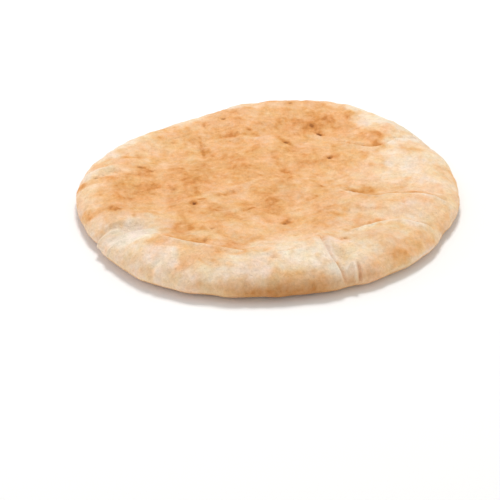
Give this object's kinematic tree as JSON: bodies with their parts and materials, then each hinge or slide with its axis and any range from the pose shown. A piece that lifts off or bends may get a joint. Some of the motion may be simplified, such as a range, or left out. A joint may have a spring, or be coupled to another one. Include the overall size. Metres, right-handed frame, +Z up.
{
  "type": "pita bread",
  "caption": "Round flat pita bread with a puffed rolled rim, a sunken toasted middle and folded creases at its rim; it lies flat on a plate or a table.",
  "frame": {"origin": "on the table, under the middle of the bread's box", "axes": "+Z up out of the toasted top, -Y towards the thick front roll, +X towards the creased right-hand rim"},
  "size_m": [0.1808, 0.1778, 0.0178],
  "materials": {
    "crust": "soft matt baked crust, pale cream on the rim and toasted golden brown over the middle, lightly floured"
  },
  "bodies": {
    "root": {"pita_bread": "crust"}
  },
  "joints": []
}
